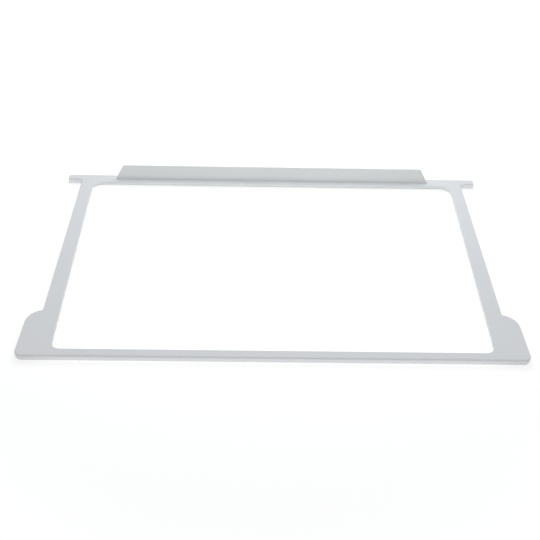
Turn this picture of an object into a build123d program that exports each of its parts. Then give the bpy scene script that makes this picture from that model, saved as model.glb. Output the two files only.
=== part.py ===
from build123d import *
import math
import os

# Fridge shelf: a clear glass pane held in a one-piece plastic frame that is moulded around its edge.
# Millimetres. X runs across the shelf, the front faces -Y and the underside lies on Z = 0.
# The origin is under the middle of the shelf.

# Glass pane
glass_width = 462.0
glass_depth = 298.0
glass_thickness = 3.2
glass_corner_radius = 10.0
glass_edge_chamfer = 0.5

# Lips that hold the glass, above and below its edge
upper_lip_cover = 6.0
upper_lip_thickness = 2.8
lower_lip_cover = 4.0
lower_lip_thickness = 1.5
opening_front_radius = 8.5
opening_rear_radius = 12.0

# Plastic outside the edge of the glass, where the side rails widen towards the front
front_border = 4.6
rear_border = 9.6
side_border_rear = 9.5
side_border_front = 13.5

# Ears at the front corners
ear_reach = 16.5
ear_length = 66.1
ear_side_draft = 1.9
ear_corner_radius = 8.0
ear_shoulder_radius = 18.5

# Lugs at the rear corners
lug_reach = 17.6
lug_depth = 10.0
lug_corner_radius = 2.4

# Rounds in the inner corners where the ears and the lugs leave the body
ear_notch_radius = 2.0
lug_notch_radius = 4.5

# Raised stop along the rear band, leaning back, with slanted ends
stop_base_length = 396.0
stop_end_slant = 29.5
stop_height = 18.4
stop_thickness = 2.5
stop_lean = 15.0
stop_setback = 9.7
stop_corner_radius = 1.5
stop_edge_radius = 1.0
stop_root_radius = 0.6
stop_root_depth = 1.0

# Rounded edges of the moulding
outer_edge_radius = 2.0
inner_edge_radius = 1.2
bottom_edge_radius = 1.4

# Walls and ribs of the cored underside
skirt_thickness = 2.5
glass_wall_thickness = 2.2
roof_thickness = 2.5
rib_thickness = 1.6
rib_pitch = 30.0

# Heights and places worked out from the sizes above
glass_bottom = lower_lip_thickness
glass_top = glass_bottom + glass_thickness
frame_height = glass_top + upper_lip_thickness
shelf_depth = front_border + glass_depth + rear_border
front_y = -shelf_depth / 2
rear_y = shelf_depth / 2
glass_y = (front_border - rear_border) / 2
body_half_rear = glass_width / 2 + side_border_rear
body_half_front = glass_width / 2 + side_border_front
ear_half_front = body_half_front + ear_reach
ear_half_rear = ear_half_front - ear_length * math.tan(math.radians(ear_side_draft))
lug_half_span = body_half_rear + lug_reach
stop_root_y = rear_y - stop_setback


def half_width(y):
    """Half the width of the drafted body at a place along the depth."""
    share = (y - front_y) / shelf_depth
    return body_half_front + (body_half_rear - body_half_front) * share


def trapezoid(front, half_at_front, rear, half_at_rear):
    """Flat four-sided plan between two places along the depth."""
    corners = [
        (-half_at_front, front),
        (half_at_front, front),
        (half_at_rear, rear),
        (-half_at_rear, rear),
    ]
    return make_face(Polyline(*corners, close=True))


def round_corners(plan, front_radius, rear_radius):
    """Round the two front corners and the two rear corners of a four-sided plan."""
    corners = plan.vertices().sort_by(Axis.Y)
    plan = fillet(corners[:2], front_radius)
    outline_middle = plan.center().Y
    sharp = [v for v in plan.vertices() if v.Y > outline_middle]
    return fillet(sharp, rear_radius)


def front_plan():
    """Front trim with both ears: rounded front corners and large rear shoulders."""
    plan = trapezoid(front_y, ear_half_front, front_y + ear_length, ear_half_rear)
    return round_corners(plan, ear_corner_radius, ear_shoulder_radius)


def body_plan(front, rear):
    """Drafted body between the front trim and the rear bar."""
    return trapezoid(front, half_width(front), rear, half_width(rear))


def rear_plan():
    """Bar along the back edge, whose two ends are the lugs."""
    plan = trapezoid(rear_y - lug_depth, lug_half_span, rear_y, lug_half_span)
    return round_corners(plan, lug_corner_radius, lug_corner_radius)


def glass_plan():
    """Outline of the pane."""
    return Pos(0, glass_y) * RectangleRounded(glass_width, glass_depth, glass_corner_radius)


def opening_plan(cover, radius_change):
    """Clear opening that leaves a lip of the given cover over the edge of the glass."""
    half = glass_width / 2 - cover
    front = front_y + front_border + cover
    rear = rear_y - rear_border - cover
    plan = trapezoid(front, half, rear, half)
    return round_corners(plan, opening_front_radius + radius_change, opening_rear_radius + radius_change)


def edges_at(solid, height):
    """Edges of a solid that lie flat at one height."""
    return solid.edges().filter_by_position(Axis.Z, height, height)


def is_notch(corner):
    """Whether a corner of the outline lies on the side of the body."""
    return abs(abs(corner.X) - half_width(corner.Y)) < ear_notch_radius / 10


def frame_plan():
    """Whole outline of the frame, with rounds where the ears and the lugs leave the body."""
    plan = front_plan() + body_plan(front_y + ear_length / 2, rear_y - lug_depth / 2) + rear_plan()
    ear_notches = [v for v in plan.vertices() if is_notch(v) and v.Y < 0]
    plan = fillet(ear_notches, ear_notch_radius)
    lug_notches = [v for v in plan.vertices() if is_notch(v) and v.Y > 0]
    return fillet(lug_notches, lug_notch_radius)


def outer_blank():
    """Solid outer form of the frame, with its top and bottom outer edges rounded."""
    blank = extrude(frame_plan(), frame_height)
    blank = fillet(edges_at(blank, frame_height), outer_edge_radius)
    return fillet(edges_at(blank, 0), bottom_edge_radius)


def rib_plans():
    """Cross ribs under the side rails and the rear band."""
    plans = []
    side_count = int(glass_depth / rib_pitch)
    for i in range(side_count):
        y = glass_y + (i - (side_count - 1) / 2) * rib_pitch
        plans.append(Pos(0, y) * Rectangle(2 * ear_half_front, rib_thickness))
    rear_count = int(glass_width / rib_pitch)
    rear_start = rear_y - rear_border
    for i in range(rear_count):
        x = (i - (rear_count - 1) / 2) * rib_pitch
        plans.append(Pos(x, rear_start + rear_border / 2) * Rectangle(rib_thickness, rear_border))
    return plans


def underside_pockets():
    """Hollows under the frame, between its skirt, the wall round the glass and the ribs."""
    whole_body = body_plan(front_y, rear_y)
    inner_body = offset(whole_body, -skirt_thickness)
    hollow = offset(front_plan(), -skirt_thickness) + offset(rear_plan(), -skirt_thickness)
    hollow = hollow - whole_body + inner_body
    hollow = hollow - offset(glass_plan(), glass_wall_thickness)
    for rib in rib_plans():
        hollow = hollow - rib
    return extrude(hollow, frame_height - roof_thickness)


def rear_stop():
    """Raised stop: a leaning wall with slanted ends, rounded all along its free edges."""
    lean = math.radians(stop_lean)
    seat = Plane(
        origin=(0, stop_root_y, frame_height),
        x_dir=(1, 0, 0),
        z_dir=(0, math.cos(lean), -math.sin(lean)),
    )
    half_base = stop_base_length / 2
    half_top = half_base - stop_height * math.tan(math.radians(stop_end_slant))
    outline = [
        (-half_base, stop_root_depth),
        (-half_base, 0),
        (-half_top, -stop_height),
        (half_top, -stop_height),
        (half_base, 0),
        (half_base, stop_root_depth),
    ]
    face = make_face(Polyline(*outline, close=True))
    top_corners = face.vertices().sort_by(Axis.Y)[:2]
    face = fillet(top_corners, stop_corner_radius)
    wall = extrude(seat * face, stop_thickness)
    broad_faces = wall.faces().filter_by(seat)
    rims = [e for f in broad_faces for e in f.edges() if e.center().Z > frame_height]
    return fillet(rims, stop_edge_radius)


def seat_stop(frame):
    """Set the rear stop on the frame, with a cove all round its root."""
    frame = frame + rear_stop()
    wall_y = stop_thickness / math.cos(math.radians(stop_lean))
    root = [
        e
        for e in edges_at(frame, frame_height)
        if stop_root_y - stop_root_radius < e.center().Y < stop_root_y + wall_y + stop_root_radius
        and abs(e.center().X) < stop_base_length / 2 + stop_root_radius
    ]
    return fillet(root, stop_root_radius)


def make_glass():
    """Clear pane with ground, slightly chamfered edges."""
    pane = Pos(0, 0, glass_bottom) * extrude(glass_plan(), glass_thickness)
    rims = edges_at(pane, glass_bottom) + edges_at(pane, glass_top)
    return chamfer(rims, glass_edge_chamfer)


def make_frame(glass):
    """One-piece moulded frame around the glass."""
    frame = outer_blank()
    upper_opening = extrude(opening_plan(upper_lip_cover, 0), frame_height)
    frame = frame - Pos(0, 0, glass_top) * upper_opening
    reach = Box(glass_width - upper_lip_cover, glass_depth - upper_lip_cover, 2 * frame_height)
    window = Pos(0, glass_y, frame_height) * reach
    inner_edges = [e for e in edges_at(frame, frame_height) if window.is_inside(e.center())]
    frame = fillet(inner_edges, inner_edge_radius)
    setback = upper_lip_cover - lower_lip_cover
    frame = frame - extrude(opening_plan(lower_lip_cover, setback), glass_bottom)
    frame = frame - glass
    frame = frame - underside_pockets()
    return seat_stop(frame)


os.makedirs("parts", exist_ok=True)
glass_pane = make_glass()
shelf_frame = make_frame(glass_pane)
for name, part in (("glass_pane", glass_pane), ("shelf_frame", shelf_frame)):
    export_step(part, f"parts/{name}.step")
    print(name, len(part.solids()), "solid", round(part.volume), "mm3", part.bounding_box())
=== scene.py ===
"""Looks of a refrigerator shelf: a float glass pane in a moulded plastic frame, on a pale studio floor.

Lengths are in metres, or in millimetres where the name says so.
"""

import logging
import math
from dataclasses import dataclass
from enum import Enum, IntEnum
from typing import Any

import bpy
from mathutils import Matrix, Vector


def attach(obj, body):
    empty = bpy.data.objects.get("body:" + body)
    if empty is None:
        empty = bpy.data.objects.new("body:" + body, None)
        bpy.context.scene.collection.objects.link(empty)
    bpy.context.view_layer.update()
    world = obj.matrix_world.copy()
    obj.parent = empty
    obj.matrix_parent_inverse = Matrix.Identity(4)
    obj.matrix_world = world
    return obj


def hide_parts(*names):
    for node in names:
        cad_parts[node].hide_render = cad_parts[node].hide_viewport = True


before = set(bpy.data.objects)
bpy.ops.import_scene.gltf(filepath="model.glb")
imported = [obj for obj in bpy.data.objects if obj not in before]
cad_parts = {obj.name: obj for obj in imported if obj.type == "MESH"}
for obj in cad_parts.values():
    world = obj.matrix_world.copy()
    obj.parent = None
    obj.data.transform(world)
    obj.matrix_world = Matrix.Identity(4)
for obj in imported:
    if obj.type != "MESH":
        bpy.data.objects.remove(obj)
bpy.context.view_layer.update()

log = logging.getLogger("shelf")

MM = 0.001


class Ray(Enum):
    """Kinds of ray that a Light Path node can tell apart."""

    CAMERA = "Is Camera Ray"
    GLOSSY = "Is Glossy Ray"
    TRANSMISSION = "Is Transmission Ray"
    SHADOW = "Is Shadow Ray"
    DIFFUSE = "Is Diffuse Ray"


class MixColour(IntEnum):
    """Places of a Mix node's colour sockets, whose names its other sockets share."""

    RESULT = 2
    FIRST = 6
    SECOND = 7


class Node(Enum):
    """CAD nodes of the shelf."""

    FRAME = "shelf_frame"
    GLASS = "glass_pane"


def linear(colour: str) -> tuple[float, float, float, float]:
    """Turn an sRGB hex colour to linear values.

    Args:
        colour: six hex digits after a hash sign.

    Returns:
        Red, green, blue and an alpha of 1.
    """
    parts = [int(colour[i : i + 2], 16) / 255 for i in (1, 3, 5)]
    red, green, blue = (p / 12.92 if p <= 0.04045 else ((p + 0.055) / 1.055) ** 2.4 for p in parts)
    return red, green, blue, 1.0


def per_metre(size_mm: float) -> float:
    """Texture scale that gives a pattern features of this size on Object coordinates."""
    return 1 / (size_mm * MM)


def add_node(
    tree: bpy.types.NodeTree,
    kind: str,
    inputs: dict[str | int, Any] | None = None,
    **settings: Any,
) -> bpy.types.Node:
    """Add a node with its settings, and set or link its inputs.

    Args:
        tree: node tree that gets the node.
        kind: Blender's name for the type of node.
        inputs: a value or another node's output for each input, by name or place.
        settings: values of the node's own properties.

    Returns:
        The new node.
    """
    node = tree.nodes.new(kind)
    for name, value in settings.items():
        setattr(node, name, value)
    for key, value in (inputs or {}).items():
        if isinstance(value, bpy.types.NodeSocket):
            tree.links.new(value, node.inputs[key])
        else:
            node.inputs[key].default_value = value
    return node


def new_material(name: str) -> tuple[bpy.types.Material, bpy.types.NodeTree]:
    """Make an empty node material.

    Args:
        name: name of the material.

    Returns:
        The material and its node tree.
    """
    material = bpy.data.materials.new(name)
    material.use_nodes = True
    material.node_tree.nodes.clear()
    return material, material.node_tree


def any_ray(tree: bpy.types.NodeTree, *kinds: Ray) -> bpy.types.NodeSocket:
    """Factor of 1 for a ray of any of these kinds, and 0 for all others.

    Args:
        tree: node tree that gets the nodes.
        kinds: the kinds of ray.

    Returns:
        The output that holds the factor.
    """
    path = add_node(tree, "ShaderNodeLightPath")
    factor = path.outputs[kinds[0].value]
    for kind in kinds[1:]:
        either = {0: factor, 1: path.outputs[kind.value]}
        factor = add_node(tree, "ShaderNodeMath", either, operation="MAXIMUM").outputs[0]
    return factor


@dataclass(frozen=True)
class MouldedPlastic:
    """Pale grey ABS, injection moulded in a satin-polished tool.

    The eye gets an even, cool grey with soft, broad highlights. The tool's fine texture takes the
    mirror off the gloss, and slow changes of gloss follow the way the melt flowed.
    """

    name: str = "abs_pale_grey_satin_moulded"
    slot: str = "frame_plastic"
    light: str = "#DBDCDE"
    shade: str = "#D7D9DB"
    mottle_mm: float = 45.0
    mottle_detail: float = 3.0
    mottle_roughness: float = 0.55
    flow_mm: float = 28.0
    flow_detail: float = 1.0
    # The flow's noise keeps mostly between these two values, which give the lowest and highest roughness.
    flow_low: float = 0.3
    flow_high: float = 0.7
    roughness_low: float = 0.29
    roughness_high: float = 0.37
    ior: float = 1.53
    # The real grain is about 0.1 mm, too fine for the picture, so it is drawn at 0.9 mm.
    grain_mm: float = 0.9
    grain_detail: float = 2.0
    grain_depth_mm: float = 0.012
    grain_strength: float = 0.25

    def material(self) -> bpy.types.Material:
        """Build the plastic.

        Returns:
            The finished material.
        """
        material, tree = new_material(self.name)
        place = add_node(tree, "ShaderNodeTexCoord").outputs["Object"]
        mottle = add_node(
            tree,
            "ShaderNodeTexNoise",
            {
                "Vector": place,
                "Scale": per_metre(self.mottle_mm),
                "Detail": self.mottle_detail,
                "Roughness": self.mottle_roughness,
            },
        )
        colour = add_node(
            tree,
            "ShaderNodeMix",
            {
                "Factor": mottle.outputs["Fac"],
                MixColour.FIRST: linear(self.shade),
                MixColour.SECOND: linear(self.light),
            },
            data_type="RGBA",
        )
        flow = add_node(
            tree,
            "ShaderNodeTexNoise",
            {"Vector": place, "Scale": per_metre(self.flow_mm), "Detail": self.flow_detail},
        )
        gloss = add_node(
            tree,
            "ShaderNodeMapRange",
            {
                "Value": flow.outputs["Fac"],
                "From Min": self.flow_low,
                "From Max": self.flow_high,
                "To Min": self.roughness_low,
                "To Max": self.roughness_high,
            },
        )
        grain = add_node(
            tree,
            "ShaderNodeTexNoise",
            {"Vector": place, "Scale": per_metre(self.grain_mm), "Detail": self.grain_detail},
        )
        bump = add_node(
            tree,
            "ShaderNodeBump",
            {
                "Height": grain.outputs["Fac"],
                "Strength": self.grain_strength,
                "Distance": self.grain_depth_mm * MM,
            },
        )
        plastic = add_node(
            tree,
            "ShaderNodeBsdfPrincipled",
            {
                "Base Color": colour.outputs[MixColour.RESULT],
                "Roughness": gloss.outputs["Result"],
                "IOR": self.ior,
                "Normal": bump.outputs["Normal"],
            },
        )
        add_node(tree, "ShaderNodeOutputMaterial", {"Surface": plastic.outputs[0]})
        return material


@dataclass(frozen=True)
class FloatGlass:
    """Clear float glass, toughened, with ground edges.

    The eye sees through it almost without loss, with a faint green where it is seen at length. A wiped
    film makes its mirror image a little softer in places, and toughening leaves it very slightly wavy.
    """

    name: str = "float_glass_toughened"
    slot: str = "clear_glass"
    tint: str = "#FEFFFD"
    lamp_tint: str = "#FCFDFC"
    ior: float = 1.52
    transmission: float = 1.0
    film_mm: float = 70.0
    film_detail: float = 4.0
    film_distortion: float = 1.0
    # The glass is clean where the film's noise is under the first value, and softest from the second on.
    film_start: float = 0.45
    film_full: float = 0.75
    roughness_low: float = 0.0
    roughness_high: float = 0.03
    wave_mm: float = 120.0
    wave_detail: float = 1.0
    wave_depth_mm: float = 0.01
    wave_strength: float = 0.4

    def material(self) -> bpy.types.Material:
        """Build the glass, which lets the lamps' light through to what lies under it.

        Returns:
            The finished material.
        """
        material, tree = new_material(self.name)
        place = add_node(tree, "ShaderNodeTexCoord").outputs["Object"]
        film = add_node(
            tree,
            "ShaderNodeTexNoise",
            {
                "Vector": place,
                "Scale": per_metre(self.film_mm),
                "Detail": self.film_detail,
                "Distortion": self.film_distortion,
            },
        )
        haze = add_node(
            tree,
            "ShaderNodeMapRange",
            {
                "Value": film.outputs["Fac"],
                "From Min": self.film_start,
                "From Max": self.film_full,
                "To Min": self.roughness_low,
                "To Max": self.roughness_high,
            },
        )
        wave = add_node(
            tree,
            "ShaderNodeTexNoise",
            {"Vector": place, "Scale": per_metre(self.wave_mm), "Detail": self.wave_detail},
        )
        bump = add_node(
            tree,
            "ShaderNodeBump",
            {
                "Height": wave.outputs["Fac"],
                "Strength": self.wave_strength,
                "Distance": self.wave_depth_mm * MM,
            },
        )
        glass = add_node(
            tree,
            "ShaderNodeBsdfPrincipled",
            {
                "Base Color": linear(self.tint),
                "Roughness": haze.outputs["Result"],
                "IOR": self.ior,
                "Transmission Weight": self.transmission,
                "Normal": bump.outputs["Normal"],
            },
        )
        lamp_light = add_node(tree, "ShaderNodeBsdfTransparent", {"Color": linear(self.lamp_tint)})
        surface = add_node(
            tree,
            "ShaderNodeMixShader",
            {
                0: any_ray(tree, Ray.SHADOW, Ray.DIFFUSE),
                1: glass.outputs[0],
                2: lamp_light.outputs[0],
            },
        )
        add_node(tree, "ShaderNodeOutputMaterial", {"Surface": surface.outputs[0]})
        return material


@dataclass(frozen=True)
class LightPool:
    """A soft-edged rectangle of light on the floor.

    Measured from its middle, across the shelf and along its depth, the light is full out to one
    distance and has ended by another.
    """

    middle: tuple[float, float, float]
    full: tuple[float, float]
    end: tuple[float, float]

    def share(self, tree: bpy.types.NodeTree) -> bpy.types.NodeSocket:
        """Work out how full the pool is at each place.

        Args:
            tree: node tree of the floor.

        Returns:
            The output that holds the share, from 0 to 1.
        """
        place = add_node(tree, "ShaderNodeTexCoord").outputs["Object"]
        offset = add_node(
            tree, "ShaderNodeVectorMath", {0: place, 1: self.middle}, operation="SUBTRACT"
        )
        reach = add_node(
            tree, "ShaderNodeVectorMath", {0: offset.outputs["Vector"]}, operation="ABSOLUTE"
        )
        sides = add_node(tree, "ShaderNodeSeparateXYZ", {0: reach.outputs["Vector"]})
        across, along = (
            add_node(
                tree,
                "ShaderNodeMapRange",
                {"Value": sides.outputs[axis], "From Min": end, "From Max": full},
                interpolation_type="SMOOTHSTEP",
            ).outputs["Result"]
            for axis, full, end in zip("XY", self.full, self.end)
        )
        return add_node(tree, "ShaderNodeMath", {0: across, 1: along}, operation="MULTIPLY").outputs[0]


@dataclass(frozen=True)
class PaperFloor:
    """Matt white studio paper on a light table.

    Two pools of light come up through it: one under the shelf and a little in front of it, and a wider
    one under its rear half. The camera, the gloss and the glass see the paper white, with the shelf's
    soft shadow. Under the glass they also see a painted pool of light, which makes that shadow lighter.
    """

    name: str = "studio_paper_matt_white"
    paper: str = "#F2F2F2"
    glow: float = 0.94
    front_pool: LightPool = LightPool(middle=(0.0, -0.018, 0.0), full=(0.19, 0.13), end=(0.33, 0.20))
    rear_pool: LightPool = LightPool(middle=(0.0, 0.07, 0.0), full=(0.25, 0.045), end=(0.36, 0.115))
    # What is seen of the paper is the room's light on it, which has the shadow, and an even white.
    shadow_share: float = 0.5
    lift: float = 0.59
    # Between these distances from the shelf's middle the paper goes over to plain white.
    white_start: float = 0.3
    white_end: float = 0.9
    # Painted light: under the glass, the paper that is seen gets this much more white. It lightens the
    # shelf's shadow there and lights nothing.
    painted_light_level: float = 0.12
    painted_light_pool: LightPool = LightPool(
        middle=(0.0, -0.0025, 0.0), full=(0.215, 0.14), end=(0.245, 0.165)
    )

    def material(self) -> bpy.types.Material:
        """Build the floor's paper.

        Returns:
            The finished material.
        """
        material, tree = new_material(self.name)
        paper = add_node(tree, "ShaderNodeBsdfDiffuse", {"Color": linear(self.paper)})
        pools = {0: self.front_pool.share(tree), 1: self.rear_pool.share(tree)}
        fuller = add_node(tree, "ShaderNodeMath", pools, operation="MAXIMUM")
        glow_level = add_node(
            tree, "ShaderNodeMath", {0: fuller.outputs[0], 1: self.glow}, operation="MULTIPLY"
        )
        glow = add_node(tree, "ShaderNodeEmission", {"Strength": glow_level.outputs[0]})
        bounced = add_node(tree, "ShaderNodeAddShader", {0: paper.outputs[0], 1: glow.outputs[0]})
        shaded = add_node(
            tree, "ShaderNodeBsdfDiffuse", {"Color": (self.shadow_share,) * 3 + (1.0,)}
        )
        place = add_node(tree, "ShaderNodeTexCoord").outputs["Object"]
        distance = add_node(tree, "ShaderNodeVectorMath", {0: place}, operation="LENGTH")
        whiteness = add_node(
            tree,
            "ShaderNodeMapRange",
            {
                "Value": distance.outputs["Value"],
                "From Min": self.white_start,
                "From Max": self.white_end,
                "To Min": self.lift,
            },
            interpolation_type="SMOOTHSTEP",
        )
        # The even white, plus the painted light under the glass.
        lit = add_node(
            tree,
            "ShaderNodeMath",
            {0: self.painted_light_pool.share(tree), 1: self.painted_light_level, 2: whiteness.outputs["Result"]},
            operation="MULTIPLY_ADD",
        )
        white = add_node(tree, "ShaderNodeEmission", {"Strength": lit.outputs[0]})
        seen = add_node(tree, "ShaderNodeAddShader", {0: shaded.outputs[0], 1: white.outputs[0]})
        surface = add_node(
            tree,
            "ShaderNodeMixShader",
            {
                0: any_ray(tree, Ray.CAMERA, Ray.GLOSSY, Ray.TRANSMISSION),
                1: bounced.outputs[0],
                2: seen.outputs[0],
            },
        )
        add_node(tree, "ShaderNodeOutputMaterial", {"Surface": surface.outputs[0]})
        return material


@dataclass
class DressedPart:
    """A part of the shelf: the CAD node's own form, with smooth rounds, flat faces and the real finish."""

    node: Node
    name: str
    finish: MouldedPlastic | FloatGlass
    merge_mm: float = 0.001
    # Triangles of one flat face differ by less than this, and rounds turn by more at each edge.
    flat_angle_deg: float = 0.05
    # Faces that meet at more than this keep a crisp edge between them.
    crisp_angle_deg: float = 40.0
    # How much large faces count in the normals that they share with a round: 50 is even, 100 the most.
    large_face_weight: int = 100

    def build(self) -> bpy.types.Object:
        """Copy the node's mesh, join its triangles and give its faces clean normals.

        Returns:
            The part's object, in the node's place.
        """
        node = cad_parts[self.node.value]
        bpy.ops.object.select_all(action="DESELECT")
        node.select_set(True)
        bpy.context.view_layer.objects.active = node
        bpy.ops.object.duplicate()
        piece = bpy.context.object
        piece.name = self.name
        piece.data.name = self.name
        bpy.ops.mesh.customdata_custom_splitnormals_clear()
        bpy.ops.object.mode_set(mode="EDIT")
        bpy.ops.mesh.select_all(action="SELECT")
        bpy.ops.mesh.remove_doubles(threshold=self.merge_mm * MM)
        bpy.ops.mesh.dissolve_limited(angle_limit=math.radians(self.flat_angle_deg))
        bpy.ops.object.mode_set(mode="OBJECT")
        bpy.ops.object.shade_smooth_by_angle(angle=math.radians(self.crisp_angle_deg))
        weighted = piece.modifiers.new("flat_faces", "WEIGHTED_NORMAL")
        weighted.keep_sharp = True
        weighted.weight = self.large_face_weight
        bpy.ops.object.modifier_apply(modifier=weighted.name)
        return piece

    def dress(self, piece: bpy.types.Object) -> None:
        """Put the finish on the part and let it stand for its node.

        Args:
            piece: the part's object.
        """
        material = self.finish.material()
        for slot in piece.material_slots:
            slot.material = material
        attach(piece, "root")
        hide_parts(self.node.value)


@dataclass(frozen=True)
class Softbox:
    """A square area lamp that points at one spot, and that neither the gloss nor the glass shows."""

    name: str
    place: tuple[float, float, float]
    aim: tuple[float, float, float]
    side: float
    watts: float
    colour: str

    def build(self) -> bpy.types.Object:
        """Add the lamp.

        Returns:
            The lamp's object.
        """
        data = bpy.data.lights.new(self.name, "AREA")
        data.shape = "SQUARE"
        data.size = self.side
        data.energy = self.watts
        data.color = linear(self.colour)[:3]
        lamp = bpy.data.objects.new(self.name, data)
        bpy.context.scene.collection.objects.link(lamp)
        lamp.location = self.place
        lamp.visible_glossy = False
        lamp.visible_transmission = False
        towards = Vector(self.aim) - Vector(self.place)
        lamp.rotation_euler = towards.to_track_quat("-Z", "Y").to_euler()
        return lamp


@dataclass(frozen=True)
class LightTent:
    """White cloth tent over the shelf, lit from above, so that its light fades towards the floor.

    The camera, the gloss and the glass see its cloth plain white.
    """

    name: str = "light_tent"
    cloth: str = "#FFFFFF"
    level: float = 0.72
    dark_rise_deg: float = 0.0
    lit_rise_deg: float = 30.0
    seen_level: float = 1.0

    def build(self) -> bpy.types.World:
        """Make the world that lights the scene.

        Returns:
            The world.
        """
        world = bpy.data.worlds.new(self.name)
        world.use_nodes = True
        tree = world.node_tree
        tree.nodes.clear()
        direction = add_node(tree, "ShaderNodeTexCoord").outputs["Generated"]
        height = add_node(tree, "ShaderNodeSeparateXYZ", {0: direction}).outputs["Z"]
        strength = add_node(
            tree,
            "ShaderNodeMapRange",
            {
                "Value": height,
                "From Min": math.sin(math.radians(self.dark_rise_deg)),
                "From Max": math.sin(math.radians(self.lit_rise_deg)),
                "To Max": self.level,
            },
            interpolation_type="SMOOTHSTEP",
        )
        colour = linear(self.cloth)
        light = add_node(
            tree, "ShaderNodeBackground", {"Color": colour, "Strength": strength.outputs["Result"]}
        )
        seen = add_node(tree, "ShaderNodeBackground", {"Color": colour, "Strength": self.seen_level})
        surface = add_node(
            tree,
            "ShaderNodeMixShader",
            {
                0: any_ray(tree, Ray.CAMERA, Ray.GLOSSY, Ray.TRANSMISSION),
                1: light.outputs[0],
                2: seen.outputs[0],
            },
        )
        add_node(tree, "ShaderNodeOutputWorld", {"Surface": surface.outputs[0]})
        bpy.context.scene.world = world
        return world


@dataclass
class Studio:
    """Pale floor, light tent and lamps round the shelf."""

    floor_side: float = 60.0
    # The floor lies this little under the shelf, so that two faces never share a plane.
    floor_gap_mm: float = 0.05
    paper: PaperFloor = PaperFloor()
    tent: LightTent = LightTent()
    lamps: tuple[Softbox, ...] = (
        Softbox(
            name="rear_softbox",
            place=(0.05, 0.4, 0.5),
            aim=(0.0, 0.15, 0.0),
            side=0.5,
            watts=1.95,
            colour="#F1F8FF",
        ),
    )

    def floor(self) -> bpy.types.Object:
        """Add the floor under the shelf.

        Returns:
            The floor's object.
        """
        bpy.ops.object.select_all(action="DESELECT")
        bpy.ops.mesh.primitive_plane_add(size=self.floor_side, location=(0, 0, -self.floor_gap_mm * MM))
        floor = bpy.context.object
        floor.name = "floor"
        floor.data.materials.append(self.paper.material())
        return floor


@dataclass
class Camera:
    """Camera at the photograph's place, read from the shelf's edges."""

    name: str = "photo_camera"
    place: tuple[float, float, float] = (-0.019485, -0.724820, 0.629820)
    turn_deg: tuple[float, float, float] = (48.42, -1.186, -0.26)
    lens_mm: float = 55.85
    sensor_mm: float = 36.0
    nearest: float = 0.01
    farthest: float = 200.0

    def build(self) -> bpy.types.Object:
        """Add the camera and make it the scene's own.

        Returns:
            The camera's object.
        """
        data = bpy.data.cameras.new(self.name)
        data.lens = self.lens_mm
        data.sensor_width = self.sensor_mm
        data.clip_start = self.nearest
        data.clip_end = self.farthest
        camera = bpy.data.objects.new(self.name, data)
        bpy.context.scene.collection.objects.link(camera)
        camera.location = self.place
        camera.rotation_euler = [math.radians(angle) for angle in self.turn_deg]
        bpy.context.scene.camera = camera
        return camera


def main() -> None:
    """Dress the shelf and set the studio round it."""
    logging.basicConfig(level=logging.INFO, format="%(name)s: %(message)s")
    bpy.context.scene.view_settings.view_transform = "Standard"
    shelf = (
        DressedPart(Node.FRAME, "moulded_frame", MouldedPlastic()),
        DressedPart(Node.GLASS, "float_glass_pane", FloatGlass()),
    )
    for part in shelf:
        piece = part.build()
        part.dress(piece)
        log.info("%s: %d faces in %s", piece.name, len(piece.data.polygons), part.finish.name)
    studio = Studio()
    log.info("%s laid in %s", studio.floor().name, studio.paper.name)
    log.info("%s set", studio.tent.build().name)
    for lamp in studio.lamps:
        log.info("%s hung", lamp.build().name)
    log.info("%s placed", Camera().build().name)


if __name__ == "__main__":
    main()
